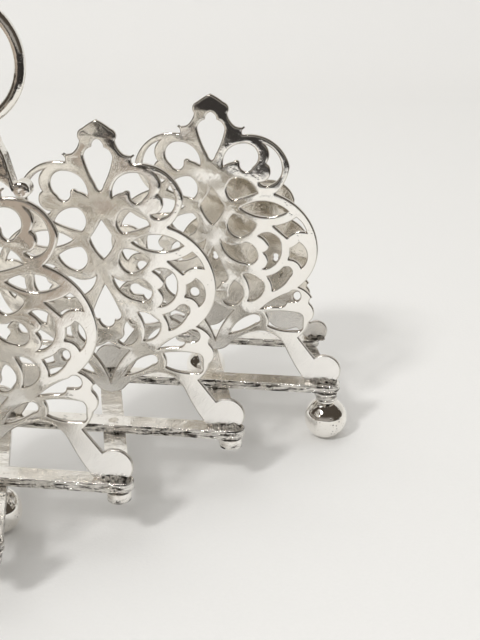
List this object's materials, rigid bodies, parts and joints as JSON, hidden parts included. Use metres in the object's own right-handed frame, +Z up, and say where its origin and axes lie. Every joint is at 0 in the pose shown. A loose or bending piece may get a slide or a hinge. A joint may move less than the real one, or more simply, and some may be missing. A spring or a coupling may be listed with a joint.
{
  "type": "expanding toast rack",
  "caption": "Expanding toast rack: pierced silver-plated dividers on a folding lazy-tongs lattice with ball feet and a carrying ring.",
  "frame": {"origin": "on the table under the middle pivot, which is the middle of the rack's footprint", "axes": "+X along the plates, +Y from the near end plate to the far end plate, +Z up"},
  "size_m": [0.2036, 0.2374, 0.1634],
  "materials": {
    "pierced_plate": "polished silver plate, softly rounded pierced edges, fine wear scratches",
    "lattice_bar": "worn silver plate with dark tarnish and solder along the edges",
    "rivet": "hammered rivet heads, tarnished",
    "ball_foot": "polished ball with small pits",
    "carrying_ring": "polished round wire",
    "ring_neck": "polished casting with dark hollows"
  },
  "bodies": {
    "row_near_end": {"plate_near_end": "pierced_plate", "upper_bar_near_end": "lattice_bar", "rivets_near_end": "rivet", "ball_foot_near_end": "ball_foot"},
    "row_near_outer": {"plate_near_outer": "pierced_plate", "upper_bar_near_outer": "lattice_bar", "rivets_near_outer": "rivet", "ball_foot_near_outer": "ball_foot"},
    "row_near_inner": {"plate_near_inner": "pierced_plate", "upper_bar_near_inner": "lattice_bar", "rivets_near_inner": "rivet"},
    "row_middle": {"plate_middle": "pierced_plate", "upper_bar_middle": "lattice_bar", "rivets_middle": "rivet", "ball_foot_middle": "ball_foot", "carrying_ring": "carrying_ring", "ring_neck": "ring_neck"},
    "row_far_inner": {"plate_far_inner": "pierced_plate", "upper_bar_far_inner": "lattice_bar", "rivets_far_inner": "rivet"},
    "row_far_outer": {"plate_far_outer": "pierced_plate", "upper_bar_far_outer": "lattice_bar", "rivets_far_outer": "rivet", "ball_foot_far_outer": "ball_foot"},
    "row_far_end": {"plate_far_end": "pierced_plate", "upper_bar_far_end": "lattice_bar", "rivets_far_end": "rivet", "ball_foot_far_end": "ball_foot"},
    "link_near_end": {"lower_bar_near_end": "lattice_bar"},
    "link_near_outer": {"lower_bar_near_outer": "lattice_bar"},
    "link_near_inner": {"lower_bar_near_inner": "lattice_bar"},
    "link_middle": {"lower_bar_middle": "lattice_bar"},
    "link_far_inner": {"lower_bar_far_inner": "lattice_bar"},
    "link_far_outer": {"lower_bar_far_outer": "lattice_bar"},
    "link_far_end": {"lower_bar_far_end": "lattice_bar"}
  },
  "joints": [
    {"name": "lattice_fold", "type": "hinge", "parent": "row_middle", "child": "link_middle", "pos_m": [0, 0, 0.01795], "axis": [0, 0, 1], "range_deg": [-76.1, 58.9]},
    {"name": "pivot_link_far_inner", "type": "hinge", "parent": "row_middle", "child": "link_far_inner", "pos_m": [0.0386, 0, 0.01795], "axis": [0, 0, 1], "range_deg": [-76.1, 58.9]},
    {"name": "pivot_row_far_inner", "type": "hinge", "parent": "link_middle", "child": "row_far_inner", "pos_m": [-0.0107, 0.03709, 0.01795], "axis": [0, 0, 1], "range_deg": [-58.9, 76.1]},
    {"name": "pivot_row_far_outer", "type": "hinge", "parent": "link_far_inner", "child": "row_far_outer", "pos_m": [0.01719, 0.07417, 0.01795], "axis": [0, 0, 1], "range_deg": [-58.9, 76.1]},
    {"name": "pivot_link_far_outer", "type": "hinge", "parent": "row_far_inner", "child": "link_far_outer", "pos_m": [0.0665, 0.03709, 0.01795], "axis": [0, 0, 1], "range_deg": [-76.1, 58.9]},
    {"name": "pivot_row_far_end", "type": "hinge", "parent": "link_far_outer", "child": "row_far_end", "pos_m": [0.04509, 0.11126, 0.01795], "axis": [0, 0, 1], "range_deg": [-58.9, 76.1]},
    {"name": "pivot_link_far_end", "type": "hinge", "parent": "row_far_outer", "child": "link_far_end", "pos_m": [0.09439, 0.07417, 0.01795], "axis": [0, 0, 1], "range_deg": [-76.1, 58.9]},
    {"name": "pivot_link_near_inner", "type": "hinge", "parent": "row_middle", "child": "link_near_inner", "pos_m": [-0.0386, 0, 0.01795], "axis": [0, 0, 1], "range_deg": [-76.1, 58.9]},
    {"name": "pivot_row_near_inner", "type": "hinge", "parent": "link_middle", "child": "row_near_inner", "pos_m": [0.0107, -0.03709, 0.01795], "axis": [0, 0, 1], "range_deg": [-58.9, 76.1]},
    {"name": "pivot_row_near_outer", "type": "hinge", "parent": "link_near_inner", "child": "row_near_outer", "pos_m": [-0.01719, -0.07417, 0.01795], "axis": [0, 0, 1], "range_deg": [-58.9, 76.1]},
    {"name": "pivot_link_near_outer", "type": "hinge", "parent": "row_near_inner", "child": "link_near_outer", "pos_m": [-0.0665, -0.03709, 0.01795], "axis": [0, 0, 1], "range_deg": [-76.1, 58.9]},
    {"name": "pivot_row_near_end", "type": "hinge", "parent": "link_near_outer", "child": "row_near_end", "pos_m": [-0.04509, -0.11126, 0.01795], "axis": [0, 0, 1], "range_deg": [-58.9, 76.1]},
    {"name": "pivot_link_near_end", "type": "hinge", "parent": "row_near_outer", "child": "link_near_end", "pos_m": [-0.09439, -0.07417, 0.01795], "axis": [0, 0, 1], "range_deg": [-76.1, 58.9]}
  ],
  "couplings": [
    {"joint": "pivot_link_far_inner", "follows": "lattice_fold", "ratio": 1},
    {"joint": "pivot_row_far_inner", "follows": "lattice_fold", "ratio": -1},
    {"joint": "pivot_row_far_outer", "follows": "lattice_fold", "ratio": -1},
    {"joint": "pivot_link_far_outer", "follows": "lattice_fold", "ratio": 1},
    {"joint": "pivot_row_far_end", "follows": "lattice_fold", "ratio": -1},
    {"joint": "pivot_link_far_end", "follows": "lattice_fold", "ratio": 1},
    {"joint": "pivot_link_near_inner", "follows": "lattice_fold", "ratio": 1},
    {"joint": "pivot_row_near_inner", "follows": "lattice_fold", "ratio": -1},
    {"joint": "pivot_row_near_outer", "follows": "lattice_fold", "ratio": -1},
    {"joint": "pivot_link_near_outer", "follows": "lattice_fold", "ratio": 1},
    {"joint": "pivot_row_near_end", "follows": "lattice_fold", "ratio": -1},
    {"joint": "pivot_link_near_end", "follows": "lattice_fold", "ratio": 1}
  ]
}
